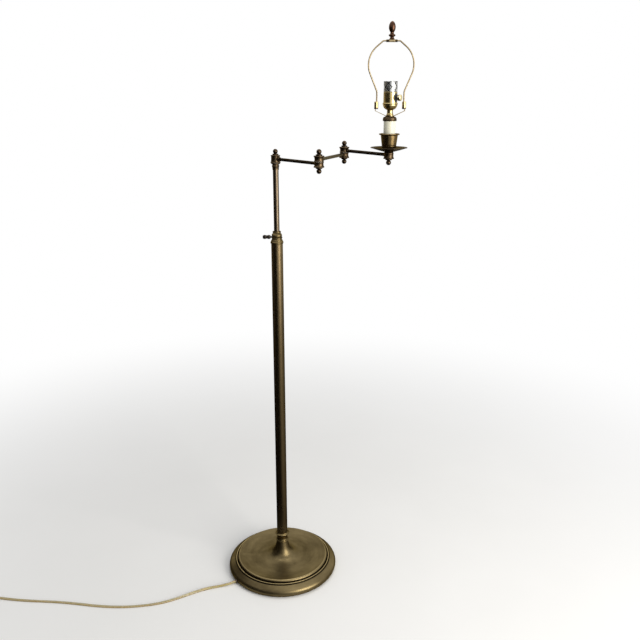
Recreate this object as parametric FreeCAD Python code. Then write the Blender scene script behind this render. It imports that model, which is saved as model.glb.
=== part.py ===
import FreeCAD, Part
import math
import os
from FreeCAD import Placement, Rotation, Vector

# An articulated floor lamp: a round weighted base, a telescoping pole, three swing arms that turn
# on upright pivots, and a candle-style head with a bare socket and a harp for a shade.
# Millimetres, +Z up. The origin is the middle of the base, at the floor.

os.makedirs("parts", exist_ok=True)

# Fits
shaft_gap = 0.06  # radial, where one piece turns or slides on another
seat_gap = 0.05  # radial, where a fixed piece sits on a pipe
face_gap = 0.3  # between flat faces that move past each other

# Base
base_r = 152.0
base_wall = 1.5
base_rim_z = 2.5  # height of the rolled rim's lower lip
rim_r_inset = 3.0  # how far the lower lip is tucked in under the widest place
rim_wide_z = 10.0
rim_top_inset = 5.5
rim_top_z = 20.6
bead_inset = 20.8  # from the widest place in to the bead on the step between outer disc and dished plate
bead_z = 31.6
groove_inset = 23.6
groove_z = 29.6
dish_inset = 30.5
dish_z = 38.0
dish_low = 33.4
trumpet_r = 15.6
trumpet_top = 79.0
felt_t = 2.8
felt_inset = 9.0  # felt and weight stop short of the rim's widest place
weight_inset = 8.0
weight_hub_z = 22.6  # roof of the pocket that holds the lock nut
weight_pocket_r = 20.0
weight_hub_r = 30.0
weight_ring_w = 28.0
weight_web_z = 17.0  # underside of the thinner plate between hub and ring
channel_w = 8.4

# Cord
cord_d = 7.0
cord_exit_deg = 214.5
cord_exit_z = 6.4
cord_floor_z = 3.6
coil_z = 4.6
coil_centre = (-806.0, -196.0)
coil_inner_r = 28.0
coil_pitch = 7.6
coil_rise = 7.6
coil_turns = 3  # turns in the lower layer before the climb
coil_reversal = coil_turns + 0.25  # where the spiral turns back, half-way up
coil_outer_r = coil_inner_r + coil_pitch * coil_reversal
tail_back = 58.0
tail_out = 5.0
plug_z = 7.2
bushing_len = 8.0
bushing_out = 3.0  # how far it stands out of the rim
bushing_wall = 1.4
tie_w = 10.0
tie_t = 0.8
plug_len = 27.0
plug_w = 22.0
plug_t = 13.0
blade_len = 17.0
blade_w = 6.35
blade_t = 1.5
blade_space = 12.7

# Pole
tube_r = 14.7
tube_wall = 1.5
tube_foot_z = 96.0  # where the outer tube stands in its foot
tube_top_z = 947.0
pole_r = 7.0
pole_wall = 1.2
pole_foot_z = 700.0
guide_len = 24.0
foot_neck_r = 14.6
foot_bead_r = 17.0
foot_flange_r = 19.5
foot_flange_z = 104.5
foot_top_z = 108.0
pipe_r = 6.6
pipe_bore = 5.0
pipe_low_z = 15.0

# Collar at the top of the outer tube
collar_drop = 8.6  # how far its skirt reaches down over the tube
screw_rise = 8.3  # from the tube's top to the thumb screw's axis
lip_rise = 14.4  # from that axis to the collar's top
collar_skirt_r = 16.3
collar_ring_r = 13.8
collar_bulb_r = 12.9
collar_lip_r = 10.6
screw_r = 2.0
screw_neck_end = 15.2
screw_knob_r = 5.1
screw_knob_len = 20.0
bush_r = 9.0
collar_z = tube_top_z - collar_drop
screw_z = tube_top_z + screw_rise
collar_top_z = screw_z + lip_rise

# Swing arms
arm_len = 156.0
arm_turns_deg = (-48.26, 66.19, -51.94)  # the way each arm points, seen from above
arm_level = 1145.6
arm_step = 8.8  # from one arm's level to the next at an elbow
arm_r = 3.8
arm_bore = 2.8
boss_r = 4.2
boss_reach = 17.0
root_boss_r = 5.4
arm_seat = 10.6  # where the arm tube starts, from the pivot's axis
pivot_r = 5.1
pivot_bore = 3.4
washer_t = 0.6
washer_r = 8.6
hub_h = 12.6
hub_r = 10.6
hub_lip_r = 12.3
hub_band_r = 11.3
post_hub_h = 18.2
finial_h = 14.4
finial_ball_r = 5.9
finial_flange_r = 7.7
thread_in = 2.2  # how far a pivot's end goes into its finial

# Head
head_hub_low = 8.8  # head hub's lower face below the arm's level
head_hub_h = 15.6
head_hub_top_r = 9.4
pan_r = 42.0
pan_rise = 9.8
pan_t = 1.1
cup_foot_r = 9.0
cup_foot_h = 1.6
cup_low_r = 16.6
cup_low_z = 14.0  # above the head hub
cup_high_r = 19.3
cup_high_z = 36.0
cup_rim_r = 23.4
cup_h = 40.4
cup_wall = 1.1
candle_r = 13.4
candle_wall = 1.0
candle_foot = 10.6
candle_top = 69.2
cap_r = 15.8
cap_h = 9.0
saddle_w = 7.0
saddle_t = 1.5
nut_h = 4.6
nut_r = 8.2
socket_neck_r = 6.6
socket_neck_h = 7.6
socket_bowl_r = 16.2
socket_bead_r = 17.0
socket_bowl_h = 13.4
shell_r = 15.4
shell_wall = 0.6
shell_h = 25.0
sleeve_r = 15.25
sleeve_h = 22.4
liner_r = 14.3
screw_shell_r = 13.7
screw_shell_bore = 13.05  # a medium screw base, 26 mm
screw_shell_len = 22.4
contact_pocket = 3.6
switch_deg = -34.0
switch_up = 12.4  # above the shell's lower edge
switch_boss_r = 9.4
switch_boss_out = 15.2
knob_r = 6.8
knob_in = 20.2
knob_out = 27.2
knob_stem_r = 2.0

# Harp
wire_r = 1.6
leg_x = 30.3
leg_foot = 95.9  # above the head hub's top, as is the crown's height
kink_rise = 34.9  # above the leg's foot
shoulder_x = 60.3
shoulder_drop = 35.0  # below the crown
crown_x = 18.5
crown_up = 236.3
shoulder_round = 49.0
kink_round = 14.0
crown_round = 5.0
crimp_r = 2.8
crimp_len = 3.4
crimp_x = 10.6
strap_gap = 0.15  # between a leg and the saddle's upright
ferrule_r = 4.4
ferrule_bore = 3.25
ferrule_h = 16.0
ferrule_drop = 2.4  # how far it reaches below the leg's foot
plate_len = 17.2
plate_w = 12.0
plate_h = 5.2
stud_r = 3.1
stud_len = 11.0
shade_finial_h = 37.4
shade_finial_r = 7.4


def spline(points):
    curve = Part.BSplineCurve()
    curve.interpolate([Vector(r, 0, z) for r, z in points])
    return curve.toShape()


def outline(*steps):
    """A flat closed face in the XZ plane. A step is a point, two points (an arc's middle and end) or a list
    of points for a smooth curve."""
    edges = []
    here = steps[0]
    for step in steps[1:] + (steps[0],):
        if isinstance(step, list):
            edges.append(spline([here] + step))
            here = step[-1]
        elif isinstance(step[0], tuple):
            middle, end = step
            curve = Part.Arc(*(Vector(x, 0, z) for x, z in (here, middle, end)))
            edges.append(curve.toShape())
            here = end
        elif step != here:
            edges.append(Part.LineSegment(Vector(here[0], 0, here[1]), Vector(step[0], 0, step[1])).toShape())
            here = step
    return Part.Face(Part.Wire(edges))


def turned(*steps, at=(0, 0)):
    """The solid that the outline sweeps when it turns about the upright line at the given place."""
    shape = outline(*steps).revolve(Vector(0, 0, 0), Vector(0, 0, 1), 360)
    shape.translate(Vector(at[0], at[1], 0))
    return shape


def ring(inner, outer, low, high, at=(0, 0)):
    place = Vector(at[0], at[1], low)
    shape = Part.makeCylinder(outer, high - low, place)
    if inner > 0:
        shape = shape.cut(Part.makeCylinder(inner, high - low, place))
    return shape


def rod(radius, start, end):
    start, end = Vector(*start), Vector(*end)
    return Part.makeCylinder(radius, (end - start).Length, start, end - start)


def facing(shape, degrees, at):
    """Turns a shape, drawn at the origin and pointing along +X, to point another way at another place."""
    moved = shape.copy()
    moved.Placement = Placement(Vector(*at), Rotation(Vector(0, 0, 1), degrees)).multiply(moved.Placement)
    return moved


def save(name, *solids):
    shape = solids[0] if len(solids) == 1 else Part.makeCompound(list(solids))
    if not shape.isValid():
        print("not valid:", name)
    shape.exportStep(f"parts/{name}.step")


def inset(points, wall):
    """The same row of profile points, moved square to the row by the wall, towards the axis and down."""
    moved = []
    for i, (r, z) in enumerate(points):
        before, after = points[max(i - 1, 0)], points[min(i + 1, len(points) - 1)]
        along = Vector(after[0] - before[0], 0, after[1] - before[1]).normalize()
        moved.append((r - along.z * wall, z + along.x * wall))
    return moved


# Cord routes

def turn_radius(before, corner, after):
    a, b = (corner - before), (after - corner)
    half = a.getAngle(b) / 2
    return 0.45 * min(a.Length, b.Length) / math.tan(half), half


def rounded_path(points):
    """Straight runs joined by tangent arcs, each as large as its two runs allow, and the arcs' radii."""
    points = [Vector(*p) for p in points]
    edges, radii = [], []
    here = points[0]
    for before, corner, after in zip(points, points[1:], points[2:]):
        radius, half = turn_radius(before, corner, after)
        back, on = (before - corner).normalize(), (after - corner).normalize()
        reach = radius * math.tan(half)
        start, end = corner + back * reach, corner + on * reach
        inward = (back + on).normalize()
        middle = corner + inward * (radius / math.cos(half) - radius)
        edges.append(Part.LineSegment(here, start).toShape())
        edges.append(Part.Arc(start, middle, end).toShape())
        radii.append(radius)
        here = end
    edges.append(Part.LineSegment(here, points[-1]).toShape())
    return Part.Wire(edges), radii


def tube_along(path, radius):
    first = path.Edges[0]
    start = first.valueAt(first.FirstParameter)
    along = first.tangentAt(first.FirstParameter)
    section = Part.Wire(Part.makeCircle(radius, start, along))
    return path.makePipeShell([section], True, False)


def report_tube(name, shape, path, radius, radii):
    share = shape.Volume / (math.pi * radius ** 2 * path.Length)
    print(f"{name}: length {path.Length:.0f} mm, volume over section times length {share:.4f},",
          "arc radii", " ".join(f"{r:.0f}" for r in radii))


def arc_from(start, along, end):
    """The arc that leaves start along a direction and ends at end."""
    chord = end - start
    half = chord.Length / 2
    lean = along.getAngle(chord)
    across = (chord - along * chord.dot(along)).normalize()
    centre = start + across * (half / math.sin(lean))
    out = ((start + end) * 0.5 - centre).normalize()
    return Part.Arc(start, centre + out * (half / math.sin(lean)), end).toShape()


def biarc(p, t, q, u):
    """Two tangent arcs from p along t to q along u."""
    gap, both = q - p, t + u
    share = 2 * (1 - t.dot(u))
    reach = (-gap.dot(both) + math.sqrt(gap.dot(both) ** 2 + share * gap.dot(gap))) / share
    meet = (p + t * reach + q - u * reach) * 0.5
    return [arc_from(p, t, meet), arc_from(meet, (q - u * reach - meet).normalize(), q)]


def coil_place(turn):
    """A point of the coil's centre line. It spirals in, climbs in half a turn, and spirals out on top."""
    share = min(max((turn - coil_turns) * 2, 0.0), 1.0)
    climb = coil_rise * (1 - math.cos(math.pi * share)) / 2
    radius = coil_inner_r + coil_pitch * abs(turn - coil_reversal)
    angle = math.pi / 2 + 2 * math.pi * turn
    return Vector(coil_centre[0] + radius * math.cos(angle), coil_centre[1] + radius * math.sin(angle), coil_z + climb)


def coil_path():
    """The coil's turns as biarcs of a quarter turn, then a tail that bends down to the plug beside it."""
    whole = coil_turns * 2 + 0.25
    nudge = 0.002
    places, ways = [], []
    for quarter in range(int(whole * 4) + 1):
        turn = quarter / 4
        places.append(coil_place(turn))
        low, high = max(turn - nudge, 0), min(turn + nudge, whole)
        ways.append((coil_place(high) - coil_place(low)).normalize())
    ways[0] = Vector(-1, 0, 0)
    edges = [Part.LineSegment(places[0] + Vector(cord_d, 0, 0), places[0]).toShape()]
    for i in range(len(places) - 1):
        edges += biarc(places[i], ways[i], places[i + 1], ways[i + 1])
    tail = Vector(coil_centre[0] - coil_outer_r - tail_out, coil_centre[1] - tail_back, plug_z)
    way = Vector(-1, -4, 0).normalize()
    edges += biarc(places[-1], ways[-1], tail, way)
    end = tail + way * cord_d
    edges.append(Part.LineSegment(tail, end).toShape())
    return Part.Wire(edges), end, way


def least_gap(path, radius):
    """The least space between two stretches of a tube that are over two diameters apart along it."""
    step = radius / 2
    points = path.discretize(Distance=step)
    near = int(6 * radius / step)
    cells = {}
    for i, p in enumerate(points):
        cells.setdefault((int(p.x // 12), int(p.y // 12)), []).append(i)
    least = 1e9
    for i, p in enumerate(points):
        cx, cy = int(p.x // 12), int(p.y // 12)
        for dx in (-1, 0, 1):
            for dy in (-1, 0, 1):
                for j in cells.get((cx + dx, cy + dy), ()):
                    if j > i + near:
                        least = min(least, p.distanceToPoint(points[j]))
    return least - 2 * radius


# Base

rim_r = base_r - rim_r_inset
rim_shoulder_r = base_r - rim_top_inset
bead_r = base_r - bead_inset
groove_r = base_r - groove_inset
dish_r = base_r - dish_inset
weight_r = base_r - weight_inset
weight_ring_r = weight_r - weight_ring_w
# Share of the way out from the trumpet's top to the dish's edge, and height over the dish's lowest place
dish_curve = [(0.835, 1.6), (0.646, 0.0), (0.438, 0.6), (0.278, 2.8), (0.164, 7.8), (0.089, 16.6), (0.036, 30.0)]
dish_points = [(dish_r, dish_z)]
dish_points += [(trumpet_r + share * (dish_r - trumpet_r), dish_low + rise) for share, rise in dish_curve]
dish_points += [(trumpet_r, trumpet_top)]
step_r = bead_r + 3.4


def at_angle(radius, degrees, z=0.0):
    return (radius * math.cos(math.radians(degrees)), radius * math.sin(math.radians(degrees)), z)


def base_shell():
    """Spun brass: a rolled rim, a beaded step, a shallow dish, and a trumpet that rises to the pole."""
    def line(p, q):
        return Part.LineSegment(Vector(p[0], 0, p[1]), Vector(q[0], 0, q[1])).toShape()

    def arc(p, m, q):
        return Part.Arc(*(Vector(x, 0, z) for x, z in (p, m, q))).toShape()

    w = base_wall
    rim, wide, shoulder = (rim_r, base_rim_z), (base_r, rim_wide_z), (rim_shoulder_r, rim_top_z)
    step_out, step_in = (step_r, groove_z - 1.2), (bead_r + 1.7, groove_z - 0.9)
    bead_in, edge_in = (bead_r - 1.8, groove_z + 0.6), (groove_r - 0.8, groove_z + 1.2)
    edge_up = (edge_in[0] - 0.4, groove_z + 3.2)
    inner = inset(dish_points, w)
    under_edge, under_step = (edge_up[0] - w, groove_z + 1.0), (groove_r - 1.6, groove_z - 2.4)
    under_out = (step_r - 0.6, groove_z - 1.4 - w)
    edges = [
        arc(rim, wide, shoulder),
        line(shoulder, step_out),
        arc(step_out, (bead_r + 2.5, groove_z - 1.9), step_in),
        arc(step_in, (bead_r, bead_z), bead_in),
        arc(bead_in, (groove_r, groove_z), edge_in),
        line(edge_in, edge_up),
        arc(edge_up, (edge_up[0] - 1.9, dish_z - 1.2), (dish_r, dish_z)),
        spline(dish_points),
        line(dish_points[-1], inner[-1]),
        spline(inner[::-1]),
        line(inner[0], under_edge),
        line(under_edge, under_step),
        line(under_step, under_out),
        line(under_out, (shoulder[0] - 0.8, shoulder[1] - w)),
        arc((shoulder[0] - 0.8, shoulder[1] - w), (wide[0] - w, wide[1]), (rim[0] - w, rim[1])),
        line((rim[0] - w, rim[1]), rim),
    ]
    shell = Part.Face(Part.Wire(edges)).revolve(Vector(0, 0, 0), Vector(0, 0, 1), 360)
    notch_half = cord_d / 2 + bushing_wall + seat_gap
    notch = Part.makeBox(20, 2 * notch_half, cord_exit_z, Vector(base_r - 14, -notch_half, 0))
    notch = notch.fuse(rod(notch_half, (base_r - 14, 0, cord_exit_z), (base_r + 6, 0, cord_exit_z)))
    return shell.cut(facing(notch, cord_exit_deg, (0, 0, 0)))


def base_weight():
    """Cast iron: a disc with a heavy outer ring, a pocket for the lock nut and a channel for the cord."""
    low = felt_t + 0.1
    top = dish_low - base_wall - 0.8
    body = turned(
        (weight_pocket_r, low), (weight_hub_r, low), (weight_hub_r, weight_web_z), (weight_ring_r, weight_web_z),
        (weight_ring_r, low), (weight_r, low), (weight_r, 15.0), (weight_r - 5.0, 19.6),
        (groove_r - 1.0, groove_z - 5.4), (groove_r - 5.0, top), (42.0, top), (34.0, top + 3.0), (24.0, top + 3.0),
        (pipe_r + 0.6, top + 3.0), (pipe_r + 0.6, weight_hub_z), (weight_pocket_r, weight_hub_z),
    )
    height = cord_exit_z + channel_w / 2 - low
    channel = Part.makeBox(weight_r, channel_w, height + 0.2, Vector(12.0, -channel_w / 2, low - 0.2))
    return body.cut(facing(channel, cord_exit_deg, (0, 0, 0)))


def base_lock_nut():
    """A hexagon with a washer flange that pulls the weight up against the foot."""
    flange_low = weight_hub_z - 1.8
    across = 11.0
    corners = [Vector(*at_angle(across / math.cos(math.pi / 6), 60 * i, pipe_low_z + 0.6)) for i in range(7)]
    nut = Part.Face(Part.makePolygon(corners)).extrude(Vector(0, 0, flange_low - pipe_low_z - 0.6))
    nut = nut.fuse(ring(0, 15.5, flange_low, weight_hub_z))
    return nut.cut(ring(0, pipe_r + seat_gap, 0, weight_hub_z + 1)).removeSplitter()


def tube_foot():
    """A turned fitting between trumpet and tube: a double bead, a neck, and a thin flared ring."""
    low = trumpet_top + 0.05
    flare = foot_flange_z - 5.5
    bead = 2.4
    tube_in = tube_r + seat_gap
    return turned(
        (pipe_r + seat_gap, low), (trumpet_r, low), (trumpet_r, low + 0.8),
        ((foot_bead_r, low + 0.8 + bead / 2), (trumpet_r, low + 0.8 + bead)),
        (trumpet_r, low + 1.4 + bead), ((foot_bead_r + 0.6, low + 2.9 + bead), (trumpet_r, low + 4.4 + bead)),
        (foot_neck_r + 1.0, low + 5.0 + bead), ((foot_neck_r, flare - 3.0), (foot_neck_r + 1.0, flare)),
        (foot_flange_r - 0.6, foot_flange_z - 0.9), ((foot_flange_r, foot_flange_z), (foot_flange_r - 0.8, foot_flange_z + 0.7)),
        ((tube_in + 2.0, foot_top_z - 1.4), (tube_in + 0.7, foot_top_z)),
        (tube_in, foot_top_z), (tube_in, tube_foot_z), (pipe_r + seat_gap, tube_foot_z),
    )


def cord_bushing():
    """A plastic sleeve with a collar, set in the rim's notch, that the cord leaves through."""
    inner = cord_d / 2 + 0.2
    outer = cord_d / 2 + bushing_wall
    start = base_r + bushing_out - bushing_len
    shape = rod(outer, (start, 0, 0), (start + bushing_len, 0, 0))
    shape = shape.fuse(rod(outer + 0.8, (base_r + 0.3, 0, 0), (base_r + bushing_out, 0, 0)))
    shape = shape.cut(rod(inner, (start - 1, 0, 0), (start + bushing_len + 1, 0, 0)))
    floor = Part.makeBox(40, 40, 10, Vector(start - 5, -20, -cord_exit_z - 9.4))
    return facing(shape.cut(floor), cord_exit_deg, (0, 0, cord_exit_z))


def supply_lead():
    """The cord inside the base: along the weight's channel, then up the pipe into the outer tube."""
    inner_end = base_r + bushing_out - bushing_len
    bend = 11.0
    out = Vector(*at_angle(1.0, cord_exit_deg))
    start = out * inner_end + Vector(0, 0, cord_exit_z)
    bend_start = out * bend + Vector(0, 0, cord_exit_z)
    bend_middle = out * (bend * (1 - math.sqrt(0.5))) + Vector(0, 0, cord_exit_z + bend * (1 - math.sqrt(0.5)))
    bend_end = Vector(0, 0, cord_exit_z + bend)
    path = Part.Wire([
        Part.LineSegment(start, bend_start).toShape(),
        Part.Arc(bend_start, bend_middle, bend_end).toShape(),
        Part.LineSegment(bend_end, Vector(0, 0, tube_foot_z + 40.0)).toShape(),
    ])
    shape = tube_along(path, cord_d / 2)
    report_tube("supply lead", shape, path, cord_d / 2, [bend])
    return shape


save("base_shell", base_shell())
save("base_weight", base_weight())
save("base_felt", ring(0, base_r - felt_inset, 0, felt_t))
save("base_lock_nut", base_lock_nut())
save("base_pipe", ring(pipe_bore, pipe_r, pipe_low_z, tube_foot_z - 0.5))
save("tube_foot", tube_foot())
save("cord_bushing", cord_bushing())
save("supply_lead", supply_lead())


# Free cord, its coil and plug

cord_points = [
    at_angle(base_r + bushing_out - bushing_len, cord_exit_deg, cord_exit_z),
    at_angle(168.5, cord_exit_deg, cord_exit_z),
    (-166.0, -102.6, cord_floor_z),
    (-215.0, -115.0, cord_floor_z),
    (-299.0, -163.5, cord_floor_z),
    (-354.0, -178.0, cord_floor_z),
    (-416.0, -184.0, cord_floor_z),
    (-480.0, -180.0, cord_floor_z),
    (-543.0, -168.5, cord_floor_z),
    (-605.0, -160.5, cord_floor_z),
    (-666.0, -157.0, cord_floor_z),
    (-719.0, -151.0, 3.9),
    (-764.0, coil_centre[1] + coil_outer_r, coil_z),
    (coil_centre[0] + cord_d, coil_centre[1] + coil_outer_r, coil_z),
]


def plug(end, way):
    """A moulded two-blade plug at the end of the cord: a tapered body, a grip waist and a stiff neck."""
    neck = 9.0
    half_w, half_t = plug_w / 2, plug_t / 2

    def section(x, w, t):
        corner = min(w, t) * 0.35
        box = [(-w + corner, -t), (w - corner, -t), (w, -t + corner), (w, t - corner),
               (w - corner, t), (-w + corner, t), (-w, t - corner), (-w, -t + corner)]
        return Part.makePolygon([Vector(x, a, b) for a, b in box + box[:1]])

    neck_r = cord_d / 2 + 1.0
    body = Part.makeLoft([
        section(0, neck_r, neck_r), section(neck, neck_r + 0.9, neck_r + 0.6),
        section(neck + 6, half_w * 0.86, half_t * 0.9), section(neck + 15, half_w * 0.8, half_t * 0.8),
        section(neck + plug_len, half_w, half_t),
    ], True, True)
    tip = neck + plug_len
    blades = []
    for side in (-1, 1):
        centre = side * blade_space / 2
        blade = Part.makeBox(blade_len, blade_t, blade_w, Vector(tip, centre - blade_t / 2, -blade_w / 2))
        blades.append(blade.cut(rod(1.6, (tip + blade_len - 4, centre - 3, 0), (tip + blade_len - 4, centre + 3, 0))))
    angle = math.degrees(math.atan2(way.y, way.x))
    return [facing(s, angle, (end.x, end.y, end.z)) for s in [body] + blades]


floor_path, floor_radii = rounded_path(cord_points)
floor_cord = tube_along(floor_path, cord_d / 2)
report_tube("floor cord", floor_cord, floor_path, cord_d / 2, floor_radii)
save("cord_floor", floor_cord)

coil_line, coil_end, coil_way = coil_path()
coil = tube_along(coil_line, cord_d / 2)
report_tube("coil", coil, coil_line, cord_d / 2, [])
print(f"coil: least gap to itself {least_gap(coil_line, cord_d / 2):.2f} mm")
save("cord_coil", coil)
print("coil ends at", coil_end, "along", coil_way)

plug_body, blade_a, blade_b = plug(coil_end + coil_way * 0.05, coil_way)
save("plug_body", plug_body)
save("plug_blades", blade_a, blade_b)


def cord_tie():
    """A band round all the turns of the coil, on the side away from the lamp's end."""
    inner_low, inner_high = coil_z - cord_d / 2 - 0.3, coil_z + coil_rise + cord_d / 2 + 0.3
    near = coil_inner_r - cord_d / 2 - 0.5
    far = coil_outer_r + cord_d / 2 + 0.5
    outer = Part.makeBox(far - near + 2 * tie_t, tie_w, inner_high - inner_low + 2 * tie_t,
                         Vector(near - tie_t, -tie_w / 2, inner_low - tie_t))
    upright = [e for e in outer.Edges if abs(e.tangentAt(e.FirstParameter).y) > 0.9]
    outer = outer.makeFillet(1.4, upright)
    hole = Part.makeBox(far - near, tie_w + 2, inner_high - inner_low, Vector(near, -tie_w / 2 - 1, inner_low))
    across = [e for e in hole.Edges if abs(e.tangentAt(e.FirstParameter).y) > 0.9]
    return facing(outer.cut(hole.makeFillet(0.7, across)), 0.0, (coil_centre[0], coil_centre[1], 0))


save("cord_tie", cord_tie())


# Telescoping pole

save("outer_tube", ring(tube_r - tube_wall, tube_r, tube_foot_z + 0.05, tube_top_z))


def tube_collar():
    """The clamp at the tube's top: a flared skirt over the tube, a ring, and a bulb drawn in to a lip."""
    bore = bush_r + seat_gap
    tube_in = tube_r + seat_gap
    skirt = collar_z + 1.2
    shape = turned(
        (tube_in, collar_z), (collar_skirt_r - 0.9, collar_z), (collar_skirt_r - 0.9, skirt),
        ((collar_skirt_r, skirt + 2.3), (collar_skirt_r - 0.6, skirt + 4.4)),
        ((collar_ring_r, skirt + 8.0), (collar_ring_r - 1.2, skirt + 11.2)),
        (collar_ring_r - 1.2, screw_z - 3.0), (collar_ring_r - 0.4, screw_z - 2.8),
        ((collar_ring_r, screw_z - 1.6), (collar_ring_r - 0.4, screw_z - 0.4)),
        (collar_bulb_r - 0.8, screw_z), ((collar_bulb_r, screw_z + 4.4), (collar_bulb_r - 2.6, collar_top_z - 5.0)),
        (collar_lip_r - 1.4, collar_top_z - 3.4), (collar_lip_r - 0.4, collar_top_z - 3.0),
        ((collar_lip_r, collar_top_z - 1.5), (collar_lip_r - 0.4, collar_top_z)),
        (pole_r + 0.6, collar_top_z), (pole_r + 0.6, collar_top_z - 2.0), (bore, collar_top_z - 2.0),
        (bore, tube_top_z + 0.05), (tube_in, tube_top_z + 0.05),
    )
    return shape.cut(rod(screw_r + seat_gap, (0, 0, screw_z), (-30, 0, screw_z)))


def guide_bush():
    """A nylon sleeve inside the collar that the pole slides in, with a hole for the thumb screw."""
    low = collar_z - 13.0
    flange_r = tube_r - tube_wall - face_gap
    shape = turned(
        (pole_r + shaft_gap, low), (flange_r, low), (flange_r, tube_top_z - 0.2), (bush_r, tube_top_z - 0.2),
        (bush_r, collar_top_z - 2.3), (pole_r + shaft_gap, collar_top_z - 2.3),
    )
    return shape.cut(rod(screw_r + 0.3, (0, 0, screw_z), (-30, 0, screw_z)))


def thumb_screw():
    """A barrel knob with two swells on a thin neck. Its tip stops just short of the pole."""
    tip = pole_r + shaft_gap + 0.2
    knob_end = screw_neck_end + screw_knob_len
    waist = (screw_neck_end + knob_end) / 2
    swell = screw_knob_r
    shape = turned(
        (0, tip), (screw_r, tip), (screw_r, screw_neck_end), (swell * 0.62, screw_neck_end),
        ((swell, screw_neck_end + 4.4), (swell * 0.8, waist - 1.4)),
        (swell * 0.8, waist + 1.4), ((swell, knob_end - 4.4), (swell * 0.62, knob_end)), (0, knob_end),
    )
    grip = []
    count = 16
    for i in range(count):
        across = Vector(*at_angle(swell + 0.25, 360 * i / count))
        grip.append(Part.makeCylinder(0.62, screw_knob_len - 1.0, Vector(across.x, across.y, screw_neck_end + 0.5)))
    shape = shape.cut(Part.makeCompound(grip))
    shape.Placement = Placement(Vector(0, 0, screw_z), Rotation(Vector(0, 1, 0), -90))
    return shape


save("tube_collar", tube_collar())
save("guide_bush", guide_bush())
save("thumb_screw", thumb_screw())

post_low = arm_level - post_hub_h / 2  # underside of the first arm's hub
post_high = arm_level + post_hub_h / 2
neck_h = 15.4
pole_top_z = post_low - 0.9 - neck_h
save("inner_pole", ring(pole_r - pole_wall, pole_r, pole_foot_z, pole_top_z + 5.0))
guide_out = tube_r - tube_wall - 0.2
save("pole_guide", turned(
    (pole_r + seat_gap, pole_foot_z), (guide_out - 1.2, pole_foot_z), (guide_out, pole_foot_z + 1.2),
    (guide_out, pole_foot_z + 7.0), (guide_out - 1.6, pole_foot_z + 8.6), (guide_out - 1.6, pole_foot_z + guide_len - 8.6),
    (guide_out, pole_foot_z + guide_len - 7.0), (guide_out, pole_foot_z + guide_len - 1.2),
    (guide_out - 1.2, pole_foot_z + guide_len), (pole_r + seat_gap, pole_foot_z + guide_len),
))


def post_neck():
    """The fitting on the pole's top: a taper, a bead, and a seat for the first arm."""
    top = pole_top_z + neck_h
    return turned(
        (pole_r + seat_gap, pole_top_z), (pole_r + 0.9, pole_top_z), ((pole_r + 1.1, pole_top_z + 4.0), (pole_r + 1.7, pole_top_z + 7.4)),
        ((9.2, pole_top_z + 9.0), (pole_r + 1.0, pole_top_z + 10.8)), (pole_r + 0.8, pole_top_z + 12.2),
        (hub_band_r - 1.4, top - 1.6), ((hub_band_r, top - 0.8), (hub_band_r - 0.5, top)),
        (pivot_r + seat_gap, top), (pivot_r + seat_gap, pole_top_z + 5.05), (pole_r + seat_gap, pole_top_z + 5.05),
    )


save("post_neck", post_neck())


# Pivots and finials

def finial(low, at, way=1):
    """A turned cap nut: a flange, a neck and a ball. It screws on to a pivot pipe's end."""
    r, ball = finial_flange_r, finial_ball_r
    centre = finial_h - ball
    neck = 3.9
    meet = centre - math.sqrt(ball ** 2 - neck ** 2)
    shape = turned(
        (0, thread_in), (pivot_r + seat_gap, thread_in), (pivot_r + seat_gap, 0), (r - 0.8, 0), (r - 0.8, 1.0),
        ((r, 1.8), (r - 0.6, 2.8)), ((neck + 1.4, meet - 1.0), (neck, meet)), ((ball, centre), (0, finial_h)),
    )
    if way < 0:
        shape = shape.mirror(Vector(0, 0, 0), Vector(0, 0, 1))
    shape.translate(Vector(at[0], at[1], low))
    return shape


def pivot(at, low, high, windows=()):
    """A hollow threaded pipe with a window for the lamp wire beside each arm that it meets."""
    shape = ring(pivot_bore, pivot_r, low, high, at)
    for degrees, level in windows:
        slot = Part.makeBox(12, 4.4, 6.0, Vector(0, -2.2, -3.0))
        shape = shape.cut(facing(slot, degrees, (at[0], at[1], level)))
    return shape


def elbow_places():
    places = [(0.0, 0.0)]
    for degrees in arm_turns_deg:
        x, y, _ = at_angle(arm_len, degrees)
        places.append((places[-1][0] + x, places[-1][1] + y))
    return places


post_at, elbow_a_at, elbow_b_at, head_at = elbow_places()
level_1, level_2, level_3 = (arm_level + arm_step * i for i in range(3))
print("pivot places", post_at, elbow_a_at, elbow_b_at, head_at, "levels", level_1, level_2, level_3)


def hub_bore(fixed):
    return pivot_r + (seat_gap if fixed else shaft_gap)


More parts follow.
